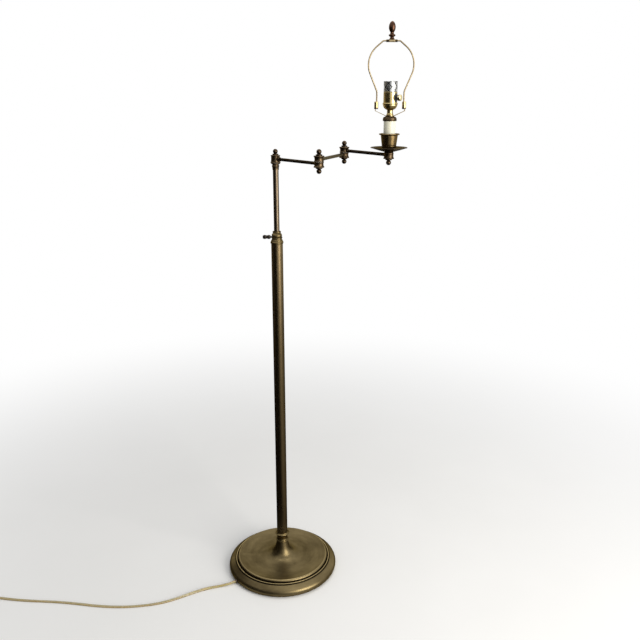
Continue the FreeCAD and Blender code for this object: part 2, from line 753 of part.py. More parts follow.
def hub(at, low, height, outer_end, bore, boss):
    """A turned knuckle: a lip at its outer end, a waist, and a band where it meets its partner."""
    level, degrees, radius = boss
    lip, body, band = hub_lip_r, hub_r, hub_band_r
    if outer_end == "both":
        steps = [
            (bore, 0), (lip - 0.5, 0), ((lip, 1.2), (lip - 0.6, 2.5)), (body + 0.5, 3.0), ((body, height / 2), (body + 0.2, height - 2.6)),
            (band - 0.4, height - 2.2), ((band + 0.3, height - 1.1), (band - 0.4, height)), (bore, height),
        ]
    else:
        steps = [
            (bore, 0), (band - 0.3, 0), ((band, 0.7), (band - 0.3, 1.4)), (body, 1.9), ((body - 0.3, height / 2), (body + 0.3, height - 3.4)),
            (lip - 0.8, height - 2.7), ((lip, height - 1.3), (lip - 0.7, height)), (bore, height),
        ]
        if outer_end == "down":
            steps = [tuple((p[0], height - p[1]) if isinstance(p, tuple) else p for p in s) if isinstance(s[0], tuple)
                     else (s[0], height - s[1]) for s in steps]
    shape = turned(*steps)
    shape.translate(Vector(0, 0, low))
    arm = rod(radius, (washer_r + 0.4, 0, level), (boss_reach - 1.2, 0, level))
    arm = arm.fuse(Part.makeCone(radius, radius - 0.35, 1.2, Vector(boss_reach - 1.2, 0, level), Vector(1, 0, 0)))
    shape = shape.fuse(arm)
    shape = shape.cut(rod(arm_r + seat_gap, (arm_seat, 0, level), (boss_reach + 5, 0, level)))
    shape = shape.cut(rod(arm_bore, (0, 0, level), (arm_seat + 1, 0, level)))
    return facing(shape, degrees, (at[0], at[1], 0))


def arm_tube(start, end, level):
    """A plain tube from the seat in one hub to the seat in the next."""
    along = Vector(end[0] - start[0], end[1] - start[1], 0).normalize()
    p = Vector(start[0], start[1], level) + along * (arm_seat + 0.1)
    q = Vector(end[0], end[1], level) - along * (arm_seat + 0.1)
    return rod(arm_r, p, q).cut(rod(arm_bore, p, q))


def washer(at, low):
    return ring(pivot_r + seat_gap, washer_r, low, low + washer_t, at)


turn_1, turn_2, turn_3 = arm_turns_deg
half_gap = (washer_t + face_gap) / 2
mid_a = (level_1 + level_2) / 2
mid_b = (level_2 + level_3) / 2
lower_a, upper_a = mid_a - half_gap - hub_h, mid_a + half_gap
lower_b, upper_b = mid_b - half_gap - hub_h, mid_b + half_gap

# Post: the first arm turns about a pipe that stands on the pole
save("post_pivot", pivot(post_at, pole_top_z + 5.2, post_high + face_gap + thread_in - 0.1, [(turn_1, level_1)]))
save("post_washer", washer(post_at, pole_top_z + neck_h))
save("post_cap", finial(post_high + face_gap, post_at))

# First arm
save("arm_1_root_hub", hub(post_at, post_low, post_hub_h, "both", hub_bore(False), (level_1, turn_1, root_boss_r)))
save("arm_1_tube", arm_tube(post_at, elbow_a_at, level_1))
save("arm_1_tip_hub", hub(elbow_a_at, lower_a, hub_h, "down", hub_bore(True), (level_1, turn_1 + 180, boss_r)))
save("elbow_a_pivot", pivot(elbow_a_at, lower_a - thread_in + 0.1, upper_a + hub_h + face_gap + thread_in - 0.1,
                            [(turn_1 + 180, level_1), (turn_2, level_2)]))
save("elbow_a_washer", washer(elbow_a_at, lower_a + hub_h))
save("elbow_a_finials", finial(upper_a + hub_h + face_gap, elbow_a_at), finial(lower_a, elbow_a_at, -1))

# Second arm
save("arm_2_root_hub", hub(elbow_a_at, upper_a, hub_h, "up", hub_bore(False), (level_2, turn_2, boss_r)))
save("arm_2_tube", arm_tube(elbow_a_at, elbow_b_at, level_2))
save("arm_2_tip_hub", hub(elbow_b_at, lower_b, hub_h, "down", hub_bore(True), (level_2, turn_2 + 180, boss_r)))
save("elbow_b_pivot", pivot(elbow_b_at, lower_b - thread_in + 0.1, upper_b + hub_h + face_gap + thread_in - 0.1,
                            [(turn_2 + 180, level_2), (turn_3, level_3)]))
save("elbow_b_washer", washer(elbow_b_at, lower_b + hub_h))
save("elbow_b_finials", finial(upper_b + hub_h + face_gap, elbow_b_at), finial(lower_b, elbow_b_at, -1))

# Third arm
save("arm_3_root_hub", hub(elbow_b_at, upper_b, hub_h, "up", hub_bore(False), (level_3, turn_3, boss_r)))
save("arm_3_tube", arm_tube(elbow_b_at, head_at, level_3))


# Head

head_low = level_3 - head_hub_low
head_z = head_low + head_hub_h  # top of the head hub: the pan, cup and candle stack up from here


def head_hub():
    """The knuckle under the drip pan: a lip, a waist, and a shoulder drawn in to the pan's seat."""
    h = head_hub_h
    steps = [
        (pivot_r + seat_gap, 0), (hub_lip_r - 0.5, 0), ((hub_lip_r, 1.2), (hub_lip_r - 0.6, 2.5)), (hub_r + 0.5, 3.0),
        ((hub_r + 0.1, h * 0.5), (hub_r + 0.5, h - 4.0)), ((hub_r, h - 1.4), (head_hub_top_r, h)), (pivot_r + seat_gap, h),
    ]
    shape = turned(*steps)
    shape = shape.fuse(rod(boss_r, (hub_r - 3.0, 0, head_hub_low), (boss_reach, 0, head_hub_low)))
    shape = shape.cut(rod(arm_r + seat_gap, (arm_seat, 0, head_hub_low), (boss_reach + 5, 0, head_hub_low)))
    shape = shape.cut(rod(arm_bore, (0, 0, head_hub_low), (arm_seat + 1, 0, head_hub_low)))
    return facing(shape, turn_3 + 180, (head_at[0], head_at[1], head_low))


def drip_pan():
    """A thin dish with a turned-up edge, clamped between the hub and the candle cup."""
    t, flat = pan_t, head_hub_top_r + 0.6
    edge = pan_r - 1.2
    shape = turned(
        (pivot_r + seat_gap, 0), (flat, 0), ((26.0, pan_rise * 0.42), (edge, pan_rise - 1.0)),
        ((pan_r, pan_rise - 0.4), (edge + 0.1, pan_rise + 0.2)), ((26.0, pan_rise * 0.42 + t), (flat, t)), (pivot_r + seat_gap, t),
    )
    shape.translate(Vector(head_at[0], head_at[1], head_z))
    return shape


def candle_cup():
    """A small cup on a foot, with a bowl, a slightly flared wall and a rolled rim."""
    w = cup_wall
    low = pan_t + 0.02
    roll = 2.0
    neck_in = cup_high_r + 0.8
    shape = turned(
        (pivot_r + seat_gap, low), (cup_foot_r, low), (cup_foot_r - 0.6, low + cup_foot_h),
        ((cup_low_r - 3.0, low + cup_foot_h + 3.2), (cup_low_r, cup_low_z)), (cup_high_r, cup_high_z),
        ((neck_in + 0.7, cup_high_z + 1.6), (cup_rim_r - 1.4, cup_h - 2 * roll + 1.0)),
        ((cup_rim_r, cup_h - roll + 0.4), (cup_rim_r - 1.6, cup_h)),
        ((cup_high_r + 0.4, cup_h - 1.6), (cup_high_r - w, cup_high_z - 0.4)), (cup_low_r - w, cup_low_z + 0.6),
        ((cup_low_r - 4.2, low + cup_foot_h + 4.4), (cup_foot_r - 1.6, low + cup_foot_h + 1.6)),
        (pivot_r + seat_gap, low + cup_foot_h + 1.6),
    )
    shape.translate(Vector(head_at[0], head_at[1], head_z))
    return shape


def candle_sleeve():
    foot = cup_foot_h + pan_t + 1.7
    foot_r = candle_r - candle_wall
    shape = turned(
        (pivot_r + seat_gap, foot), (foot_r - 5.4, foot), (candle_r, candle_foot), (candle_r, candle_top),
        (foot_r, candle_top), (foot_r, candle_foot + 0.4), (foot_r - 5.6, foot + 0.9), (pivot_r + seat_gap, foot + 0.9),
    )
    shape.translate(Vector(head_at[0], head_at[1], head_z))
    return shape


def candle_cap():
    """A turned cap over the sleeve's end, with a rounded brim and a low dome."""
    low, top = candle_top, candle_top + cap_h
    inner = candle_r + 0.2
    shape = turned(
        (inner, low - 1.4), (cap_r - 0.8, low - 1.4), ((cap_r, low + 0.6), (cap_r - 0.5, low + 2.6)),
        ((cap_r - 1.0, low + 5.4), (cap_r - 5.0, top - 1.0)), (cap_r - 6.4, top), (pivot_r + seat_gap, top),
        (pivot_r + seat_gap, low + 0.1), (inner, low + 0.1),
    )
    shape.translate(Vector(head_at[0], head_at[1], head_z))
    return shape


saddle_z = candle_top + cap_h
post_in = leg_x + wire_r + strap_gap
post_out = post_in + 1.4
post_top = leg_foot + 8.4


def harp_saddle():
    """A bent strip that holds the harp: a holed middle, two sloping wings and two uprights."""
    t, low = saddle_t, saddle_z + 0.02
    flat = 9.6
    rise = leg_foot - 6.6
    half = [(0, low), (flat, low), (post_out, rise), (post_out, post_top)]
    top = [(post_in, post_top), (post_in, rise + 0.5), (flat - 0.4, low + t), (0, low + t)]
    face = outline(*(half + top))
    wing = face.extrude(Vector(0, saddle_w, 0))
    wing.translate(Vector(0, -saddle_w / 2, 0))
    trim = Part.makeBox(6, saddle_w + 2, 30, Vector(post_in - 1.4, 1.9, leg_foot - ferrule_drop - face_gap))
    wing = wing.cut(trim).cut(trim.mirror(Vector(0, 0, 0), Vector(0, 1, 0)))
    shape = wing.fuse(wing.mirror(Vector(0, 0, 0), Vector(1, 0, 0)))
    shape = shape.fuse(ring(0, 9.0, low, low + t)).cut(ring(0, pivot_r + seat_gap, low - 1, low + t + 1))
    shape = shape.removeSplitter()
    shape.translate(Vector(head_at[0], head_at[1], head_z))
    return shape


nut_z = saddle_z + saddle_t + 0.04
neck_z = nut_z + nut_h + 0.02
bowl_z = neck_z + socket_neck_h
shell_z = bowl_z + socket_bowl_h
contact_z = shell_z + shell_h + sleeve_h - screw_shell_len - 0.4


def saddle_nut():
    shape = turned(
        (pivot_r + seat_gap, nut_z), (nut_r - 0.6, nut_z), ((nut_r, nut_z + 1.2), (nut_r - 0.8, nut_z + 2.6)),
        (socket_neck_r + 0.2, nut_z + nut_h), (pivot_r + seat_gap, nut_z + nut_h),
    )
    shape.translate(Vector(head_at[0], head_at[1], head_z))
    return shape


def socket_cap():
    """A spun cap: a threaded neck that opens into a bowl, with a bead at its rim."""
    w = 0.7
    rim = shell_z - 0.4
    shape = turned(
        (pivot_r + seat_gap, neck_z), (socket_neck_r, neck_z), (socket_neck_r, bowl_z - 1.6),
        ((socket_neck_r + 0.7, bowl_z - 0.2), (socket_neck_r + 2.4, bowl_z + 0.6)),
        ((socket_bowl_r - 1.6, bowl_z + 5.6), (socket_bowl_r, rim - 2.0)), ((socket_bead_r, rim), (socket_bowl_r, rim + 2.0)),
        (shell_r + seat_gap, rim + 2.0), (shell_r + seat_gap, rim - 2.0),
        ((socket_bowl_r - 2.5, bowl_z + 6.2), (socket_neck_r + 2.2, bowl_z + 1.5)), (pivot_r + seat_gap, bowl_z + 1.5),
    )
    shape.translate(Vector(head_at[0], head_at[1], head_z))
    return shape


def switch_hole(radius):
    hole = rod(radius, (8.0, 0, shell_z + switch_up), (30.0, 0, shell_z + switch_up))
    return facing(hole, switch_deg, (0, 0, 0))


def socket_shell():
    """The brass shell, with a round opening for the switch."""
    low, high = shell_z - 2.0, shell_z + shell_h
    shape = turned(
        (shell_r - shell_wall, low), (shell_r, low), (shell_r, high - 1.4), ((shell_r - 0.1, high - 0.4), (shell_r - shell_wall, high)),
    )
    shape = shape.cut(switch_hole(switch_boss_r + 0.2))
    shape.translate(Vector(head_at[0], head_at[1], head_z))
    return shape


def shell_sleeve():
    """The bright upper sleeve, with a rolled mouth, that goes down inside the brass shell."""
    low, high = shell_z + shell_h, shell_z + shell_h + sleeve_h
    inside = shell_r - shell_wall - seat_gap
    shape = turned(
        (inside - 0.4, low - 2.4), (inside, low - 2.4), (inside, low + 0.2), (sleeve_r, low + 0.6), (sleeve_r, high - 1.6),
        ((sleeve_r + 0.35, high - 0.8), (sleeve_r - 0.3, high)), (sleeve_r - 0.8, high - 0.4), (sleeve_r - 0.8, low + 0.9),
        (inside - 0.4, low + 0.4),
    )
    shape.translate(Vector(head_at[0], head_at[1], head_z))
    return shape


def socket_liner():
    """The paper insulator between the shells and the live screw shell."""
    shape = ring(liner_r - 0.45, liner_r, shell_z + 0.3, shell_z + shell_h + sleeve_h - 2.0)
    shape = shape.cut(switch_hole(switch_boss_r + 0.2))
    shape.translate(Vector(head_at[0], head_at[1], head_z))
    return shape


def socket_body():
    """The moulded block that holds the switch and the contacts, with grooves for the wires."""
    r, pocket_r = liner_r - 0.6, 8.0
    shape = turned(
        (0, bowl_z + 6.6), (7.6, bowl_z + 6.6), (r, shell_z - 0.6), (r, contact_z), (pocket_r, contact_z),
        (pocket_r, contact_z - contact_pocket), (0, contact_z - contact_pocket),
    )
    shape = shape.cut(switch_hole(knob_stem_r + 0.4))
    for degrees in (switch_deg + 90, switch_deg - 90):
        slot = Part.makeBox(6.0, 3.2, shell_z + 6.0 - bowl_z, Vector(r - 3.8, -1.6, bowl_z + 1.0))
        shape = shape.cut(facing(slot, degrees, (0, 0, 0)))
    shape.translate(Vector(head_at[0], head_at[1], head_z))
    return shape


def socket_contacts():
    """The screw shell for the bulb's cap, and the spring tab in the block's pocket under it."""
    low = contact_z + 0.1
    shell = turned(
        (screw_shell_bore, low), (screw_shell_r, low), (screw_shell_r, low + screw_shell_len),
        ((screw_shell_r - 0.2, low + screw_shell_len + 0.3), (screw_shell_bore, low + screw_shell_len)),
    )
    low = contact_z - contact_pocket + 0.1
    high = contact_z - 0.6
    tab = outline(
        (-6.0, low), (-6.0, low + 0.6), (-2.5, low + 0.6), ((1.2, low + 1.2), (4.6, high)), (5.0, high - 0.5),
        ((1.4, low + 0.6), (-2.3, low)),
    ).extrude(Vector(0, 4.0, 0))
    tab.translate(Vector(0, -2.0, 0))
    shapes = [shell, tab]
    for shape in shapes:
        shape.translate(Vector(head_at[0], head_at[1], head_z))
    return shapes


def at_switch(*steps):
    """A piece turned about the switch's axis. Its height in the outline is its distance from the socket's axis."""
    shape = turned(*steps)
    shape.Placement = Placement(Vector(0, 0, 0), Rotation(Vector(0, 1, 0), 90))
    return facing(shape, switch_deg, (head_at[0], head_at[1], head_z + shell_z + switch_up))


def switch_boss():
    r, out = switch_boss_r, switch_boss_out
    return at_switch(
        (knob_stem_r + shaft_gap, liner_r - 0.3), (r - 0.6, liner_r - 0.3), (r, liner_r + 0.2), (r - 0.5, out - 0.5),
        (r - 1.2, out), (4.4, out), (4.4, out + 1.6), (knob_stem_r + shaft_gap, out + 1.6),
    )


def switch_knob():
    """A round knob with a domed face and a stem that goes into the socket's block."""
    r = knob_r
    shape = at_switch(
        (0, 9.0), (knob_stem_r, 9.0), (knob_stem_r, knob_in - 2.6), (3.0, knob_in - 2.6), (3.2, knob_in),
        (r - 0.9, knob_in), (r, knob_in + 0.9), (r, knob_out - 1.6), ((r - 0.5, knob_out - 0.5), (r - 1.8, knob_out)),
        (0, knob_out + 0.4),
    )
    return shape


def socket_leads():
    """Two wires from the head pipe's top, through the cap, to the block's side grooves."""
    wires = []
    r = 1.1
    for side in (90, -90):
        start = (2.0, 0, bowl_z - 6.0)
        reach = liner_r - 2.4
        points = [start, (2.0, 0, bowl_z + 1.9), (reach - 1.0, 0, bowl_z + 2.6 + 3.4), (reach, 0, shell_z + 4.0)]
        path, _ = rounded_path(points)
        wires.append(facing(tube_along(path, r), switch_deg + side, (head_at[0], head_at[1], head_z)))
    return wires


save("head_hub", head_hub())
save("head_finial", finial(head_low, head_at, -1))
save("head_pipe", pivot(head_at, head_low - thread_in + 0.1, head_z + bowl_z - 0.4, [(turn_3 + 180, level_3)]))
save("drip_pan", drip_pan())
save("candle_cup", candle_cup())
save("candle_sleeve", candle_sleeve())
save("candle_cap", candle_cap())
save("harp_saddle", harp_saddle())
save("saddle_nut", saddle_nut())
save("socket_cap", socket_cap())
save("socket_shell", socket_shell())
save("shell_sleeve", shell_sleeve())
save("socket_liner", socket_liner())
save("socket_body", socket_body())
save("socket_contacts", *socket_contacts())
save("socket_leads", *socket_leads())
save("switch_boss", switch_boss())
save("switch_knob", switch_knob())


# Harp

def fillet_arc(before, corner, after, radius):
    """Start, middle and end of the arc that rounds a corner with the given radius."""
    back, on = (before - corner).normalize(), (after - corner).normalize()
    half = (math.pi - back.getAngle(on)) / 2
    reach = radius * math.tan(half)
    inward = (back + on).normalize()
    middle = corner + inward * (radius / math.cos(half) - radius)
    return corner + back * reach, middle, corner + on * reach


def harp_wire():
    """One length of wire: upright legs, a kink, wide round shoulders and a flat crown with two crimps."""
    kink, shoulder = leg_foot + kink_rise, crown_up - shoulder_drop
    right = [(leg_x, kink, kink_round), (shoulder_x, shoulder, shoulder_round), (crown_x, crown_up, crown_round)]
    corners = [(leg_x, leg_foot, 0)] + right + [(-x, z, r) for x, z, r in right[::-1]] + [(-leg_x, leg_foot, 0)]
    places = [Vector(x, 0, z) for x, z, _ in corners]
    edges = []
    here = places[0]
    for i in range(1, len(places) - 1):
        start, middle, end = fillet_arc(places[i - 1], places[i], places[i + 1], corners[i][2])
        edges += [Part.LineSegment(here, start).toShape(), Part.Arc(start, middle, end).toShape()]
        here = end
    edges.append(Part.LineSegment(here, places[-1]).toShape())
    path = Part.Wire(edges)
    shape = tube_along(path, wire_r)
    report_tube("harp wire", shape, path, wire_r, [r for _, _, r in right])
    for side in (-1, 1):
        middle = side * crimp_x
        crimp = turned((0, -crimp_len / 2), (crimp_r - 0.5, -crimp_len / 2), (crimp_r, -crimp_len / 2 + 0.5),
                       (crimp_r, crimp_len / 2 - 0.5), (crimp_r - 0.5, crimp_len / 2), (0, crimp_len / 2))
        crimp.Placement = Placement(Vector(middle, 0, crown_up), Rotation(Vector(0, 1, 0), 90))
        shape = shape.fuse(crimp)
    shape.translate(Vector(head_at[0], head_at[1], head_z))
    return shape


def ferrule(side):
    """A small sleeve that drops over a leg's foot and the saddle's upright, and locks them together."""
    low = leg_foot - ferrule_drop
    centre = side * ((leg_x - wire_r + post_out) / 2)
    shape = turned(
        (ferrule_bore, low), (ferrule_r, low), (ferrule_r, low + ferrule_h - 2.0), (ferrule_r - 0.4, low + ferrule_h),
        (ferrule_bore, low + ferrule_h),
    )
    shape.translate(Vector(head_at[0] + centre, head_at[1], head_z))
    return shape


def harp_plate():
    """The block that turns on the crown's wire between the crimps, with a threaded stud on top."""
    length = 2 * (crimp_x - crimp_len / 2 - face_gap)
    block = Part.makeBox(length, plate_w, plate_h, Vector(-length / 2, -plate_w / 2, crown_up - plate_h / 2))
    ends = [e for e in block.Edges if abs(e.tangentAt(e.FirstParameter).x) > 0.9]
    block = block.makeFillet(1.4, ends)
    block = block.cut(rod(wire_r + shaft_gap, (-length, 0, crown_up), (length, 0, crown_up)))
    stud_low = crown_up + plate_h / 2
    stud = turned((0, stud_low), (stud_r, stud_low), (stud_r, stud_low + stud_len - 0.6), (stud_r - 0.6, stud_low + stud_len),
                  (0, stud_low + stud_len))
    shape = block.fuse(stud).removeSplitter()
    shape.translate(Vector(head_at[0], head_at[1], head_z))
    return shape


def shade_finial():
    """A turned finial: a cone foot, a thin neck, a bell, and an egg on top. It holds a shade on its stud."""
    low = crown_up + plate_h / 2 + 0.1
    top = low + shade_finial_h
    r = shade_finial_r
    bore = stud_r + shaft_gap
    shape = turned(
        (bore, low), (6.2, low), ((5.6, low + 1.4), (4.1, low + 3.4)), (3.9, low + 4.8),
        ((5.4, low + 6.0), (r - 0.4, low + 7.4)), ((r, low + 9.0), (r - 1.2, low + 10.2)),
        ((4.1, low + 12.0), (4.2, low + 15.0)),
        [(6.5, low + 19.4), (r, low + 25.2), (6.2, low + 31.2), (3.2, low + 35.9), (0, top)],
        (0, low + 12.0), (bore, low + 12.0),
    )
    shape.translate(Vector(head_at[0], head_at[1], head_z))
    return shape


save("harp_wire", harp_wire())
save("ferrule_left", ferrule(-1))
save("ferrule_right", ferrule(1))
save("harp_plate", harp_plate())
save("shade_finial", shade_finial())
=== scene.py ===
import bpy
import math
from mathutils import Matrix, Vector


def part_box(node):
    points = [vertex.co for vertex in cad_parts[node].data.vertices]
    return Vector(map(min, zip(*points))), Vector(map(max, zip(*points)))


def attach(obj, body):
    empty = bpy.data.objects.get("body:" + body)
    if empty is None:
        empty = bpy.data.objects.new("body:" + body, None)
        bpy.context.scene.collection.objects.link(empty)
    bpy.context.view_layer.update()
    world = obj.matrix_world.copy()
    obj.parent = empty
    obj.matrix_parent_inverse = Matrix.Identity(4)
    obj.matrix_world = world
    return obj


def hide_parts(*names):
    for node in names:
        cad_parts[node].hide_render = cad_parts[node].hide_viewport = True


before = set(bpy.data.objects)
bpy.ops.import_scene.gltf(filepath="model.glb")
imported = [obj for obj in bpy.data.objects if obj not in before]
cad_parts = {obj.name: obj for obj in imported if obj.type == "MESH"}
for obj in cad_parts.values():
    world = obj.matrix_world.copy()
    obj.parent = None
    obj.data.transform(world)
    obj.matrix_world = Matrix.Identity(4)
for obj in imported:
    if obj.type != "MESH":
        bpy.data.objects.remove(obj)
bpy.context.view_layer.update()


# Places, in metres, read from the imported pieces

def middle(node_name):
    low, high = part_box(node_name)
    return (Vector(low) + Vector(high)) / 2


post = Vector((0, 0, 0))
elbow_a = middle("elbow_a_washer")
elbow_b = middle("elbow_b_washer")
head = middle("head_finial")


# Camera: the photograph's viewpoint

camera_place = (0.08876, -1.78294, 1.30611)
camera_pitch_deg = 17.677
camera_yaw_deg = 0.598
focal_px = 724.64
image_px = 640
sensor_mm = 36.0

camera_data = bpy.data.cameras.new("camera")
camera_data.sensor_width = sensor_mm
camera_data.lens = focal_px / image_px * sensor_mm
camera_data.clip_end = 50
camera = bpy.data.objects.new("camera", camera_data)
camera.location = camera_place
camera.rotation_euler = (math.radians(90 - camera_pitch_deg), 0, math.radians(-camera_yaw_deg))
bpy.context.collection.objects.link(camera)
bpy.context.scene.camera = camera
bpy.context.scene.view_settings.view_transform = "Standard"


# Material tools

def material(name):
    m = bpy.data.materials.new(name)
    m.use_nodes = True
    return m, m.node_tree, m.node_tree.nodes["Principled BSDF"]


def node(tree, kind, inputs=None, **settings):
    """Adds a node, sets its properties, and links or sets its inputs."""
    n = tree.nodes.new(kind)
    for key, value in settings.items():
        setattr(n, key, value)
    for key, value in (inputs or {}).items():
        if isinstance(value, bpy.types.NodeSocket):
            tree.links.new(value, n.inputs[key])
        else:
            n.inputs[key].default_value = value
    return n


def maths(tree, operation, a, b=0.0):
    return node(tree, "ShaderNodeMath", {0: a, 1: b}, operation=operation).outputs[0]


def times(tree, a, b):
    return maths(tree, "MULTIPLY", a, b)


def plus(tree, a, b):
    return maths(tree, "ADD", a, b)


def weighted(tree, *pairs):
    """The sum of some values, each times its weight."""
    total = None
    for value, weight in pairs:
        share = times(tree, value, weight)
        total = share if total is None else plus(tree, total, share)
    return total


def blend_colours(tree, factor, a, b):
    a, b = (c if isinstance(c, bpy.types.NodeSocket) else (*c[:3], 1) for c in (a, b))
    return node(tree, "ShaderNodeMix", {0: factor, 6: a, 7: b}, data_type="RGBA").outputs[2]


def scaled(colour, factor):
    return [c * factor for c in colour]


def remap(tree, value, low, high, new_low=0.0, new_high=1.0):
    inputs = {0: value, 1: low, 2: high, 3: new_low, 4: new_high}
    return node(tree, "ShaderNodeMapRange", inputs).outputs[0]


def noise(tree, vector, scale, detail=4.0, rough=0.55, distortion=0.0):
    inputs = {"Vector": vector, "Scale": scale, "Detail": detail}
    inputs.update({"Roughness": rough, "Distortion": distortion})
    return node(tree, "ShaderNodeTexNoise", inputs).outputs[0]


def object_point(tree):
    return node(tree, "ShaderNodeTexCoord").outputs["Object"]


def stretched(tree, vector, scale):
    return node(tree, "ShaderNodeVectorMath", {0: vector, 1: scale}, operation="MULTIPLY").outputs[0]


def split(tree, vector):
    return node(tree, "ShaderNodeSeparateXYZ", {0: vector}).outputs


def lathe_point(tree, centre):
    """Distance from an upright axis, turn about it and height, for lines that run round a turned piece."""
    moved = node(tree, "ShaderNodeVectorMath", {0: object_point(tree), 1: (centre.x, centre.y, 0)},
                 operation="SUBTRACT").outputs[0]
    x, y, z = split(tree, moved)
    radius = maths(tree, "SQRT", plus(tree, times(tree, x, x), times(tree, y, y)))
    turn = maths(tree, "ARCTAN2", y, x)
    return node(tree, "ShaderNodeCombineXYZ", {0: radius, 1: turn, 2: z}).outputs[0]


def bumped(tree, shader, height, strength, distance):
    bump = node(tree, "ShaderNodeBump", {"Strength": strength, "Distance": distance, "Height": height})
    tree.links.new(bump.outputs[0], shader.inputs["Normal"])


# Masks for wear, marks, and painted shade and highlights, each 1 where it applies

worn_width = 0.0007


def worn_edges(tree, strength):
    """Convex edges that hands and cloths have rubbed bright."""
    soft = node(tree, "ShaderNodeBevel", {"Radius": worn_width}, samples=8).outputs[0]
    sharp = node(tree, "ShaderNodeNewGeometry").outputs["Normal"]
    alike = node(tree, "ShaderNodeVectorMath", {0: soft, 1: sharp}, operation="DOT_PRODUCT").outputs["Value"]
    edge = remap(tree, maths(tree, "SUBTRACT", 1.0, alike), 0.03, 0.16)
    return times(tree, edge, strength)


def band(tree, value, centre, half, soft=0.0002):
    """Where the value is within half of the centre, with a soft border."""
    off = maths(tree, "ABSOLUTE", maths(tree, "SUBTRACT", value, centre))
    return remap(tree, off, half + soft, half - soft)


# The base's beaded step, in metres, with painted shade in its two grooves and painted highlights on its bead
# and top edge: places along the radius are measured from the bead
bead_inset = 0.0208
bead_half = 0.0011
groove_half = 0.0013
outer_groove = 0.0028
inner_groove = -0.0029
top_edge = -0.0072
top_edge_half = 0.0014
top_edge_soft = 0.0016
# Strength of the painted highlight on the plateau's top edge
top_edge_highlight = 0.5
step_z = (0.018, 0.019)


def base_step_shade_and_highlights(tree):
    """Painted shade in the groove on each side of the base's bead, and painted highlights on the bead and on
    the plateau's top edge.
    """
    radius, _, z = split(tree, lathe_point(tree, post))
    low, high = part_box("base_shell")
    bead = (high[0] - low[0]) / 2 - bead_inset
    # Painted shade bands in the two grooves, and painted highlight bands on the bead and the top edge
    outer = band(tree, radius, bead + outer_groove, groove_half)
    inner = band(tree, radius, bead + inner_groove, groove_half)
    above = remap(tree, z, *step_z)
    edge = times(tree, band(tree, radius, bead + top_edge, top_edge_half, top_edge_soft), top_edge_highlight)
    bead_and_edge_highlight = maths(tree, "MAXIMUM", band(tree, radius, bead, bead_half), edge)
    return times(tree, maths(tree, "MAXIMUM", outer, inner), above), bead_and_edge_highlight


# The silver sleeve's pressed diamonds, in metres
sleeve_r = 0.0152
line_pitch = 0.0150
line_waver = 0.004


def crossed_lines(tree):
    """The silver sleeve's diamonds: two sets of slanting lines that cross."""
    _, turn, z = split(tree, lathe_point(tree, head))
    across = times(tree, turn, sleeve_r)
    bend = times(tree, noise(tree, object_point(tree), 40.0, detail=1.0), line_waver)
    sets = []
    for slope in (1.0, -1.0):
        place = plus(tree, plus(tree, times(tree, across, slope), z), bend)
        wave = maths(tree, "ABSOLUTE", maths(tree, "SINE", times(tree, place, math.pi / line_pitch)))
        sets.append(remap(tree, wave, 0.34, 0.22))
    return maths(tree, "MAXIMUM", sets[0], sets[1])


thread_pitch = 0.0036


def screw_thread(tree):
    """A rolled thread round the head's axis, as in the shell that takes the bulb."""
    _, turn, z = split(tree, lathe_point(tree, head))
    place = maths(tree, "SUBTRACT", times(tree, z, 2 * math.pi / thread_pitch), turn)
    return remap(tree, maths(tree, "SINE", place), -1.0, 1.0, 0.0, 0.6)


crimp_r = 0.0106
crimp_half = 0.0019
crimp_depth = (0.009, 0.008)


def crimps(tree):
    """The dark crimped collars on the harp's crown, each side of its plate."""
    radius, _, z = split(tree, lathe_point(tree, head))
    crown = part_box("harp_wire")[1][2]
    above = remap(tree, z, crown - crimp_depth[0], crown - crimp_depth[1])
    return times(tree, band(tree, radius, crimp_r, crimp_half), above)


dark_end = (0.0035, 0.0025)


def ferrule_ends(tree):
    """The dark lower end of each ferrule."""
    z = split(tree, object_point(tree))[2]
    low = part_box("ferrule_left")[0][2]
    return remap(tree, z, low + dark_end[0], low + dark_end[1])


# Finishes

def patina_metal(name, centre, bright, dark, rough, patch, lines=900.0, wear=0.0, grain=0.025, drawn=None):
    """Turned brass with a clouded brown finish: soft patches, specks, fine lathe lines and rubbed edges.

    drawn(tree) may give two masks: painted shade in grooves, and painted highlights on a bead and an edge.
    """
    m, tree, shader = material(name)
    point = object_point(tree)
    ring = lathe_point(tree, centre)
    cloud = noise(tree, point, patch, detail=5.0, rough=0.6, distortion=0.3)
    fine = noise(tree, point, patch * 11, detail=6.0, rough=0.7)
    smear = noise(tree, stretched(tree, ring, (60, 1.2, 9)), 1.0, rough=0.6)
    turned = noise(tree, stretched(tree, ring, (lines, 0.6, lines)), 1.0, detail=3.0, rough=0.6)
    tone = remap(tree, weighted(tree, (cloud, 0.56), (smear, 0.36), (fine, 0.08)), 0.36, 0.64)
    if wear:
        tone = plus(tree, tone, worn_edges(tree, wear))
    colour = blend_colours(tree, maths(tree, "MINIMUM", tone, 1.0), dark, bright)
    specks = remap(tree, noise(tree, point, patch * 40, detail=2.0, rough=0.5), 0.68, 0.78)
    colour = blend_colours(tree, times(tree, specks, 0.35), colour, scaled(dark, 0.4))
    if drawn:
        # Painted shade in the grooves and painted highlights on the bead and edge, where drawn gives them
        painted_shade, painted_highlight = drawn(tree)
        colour = blend_colours(tree, times(tree, painted_shade, 0.92), colour, scaled(dark, 0.12))
        colour = blend_colours(tree, times(tree, painted_highlight, 0.85), colour, scaled(bright, 2.1))
    tree.links.new(colour, shader.inputs["Base Color"])
    shader.inputs["Metallic"].default_value = 1.0
    shader.inputs["Specular Tint"].default_value = (0.50, 0.46, 0.38, 1)
    dull = weighted(tree, (cloud, 0.8), (fine, 0.2))
    tree.links.new(remap(tree, dull, 0.35, 0.65, rough[1], rough[0]), shader.inputs["Roughness"])
    bumped(tree, shader, weighted(tree, (turned, 0.7), (fine, 0.2)), grain, 0.0006)
    return m


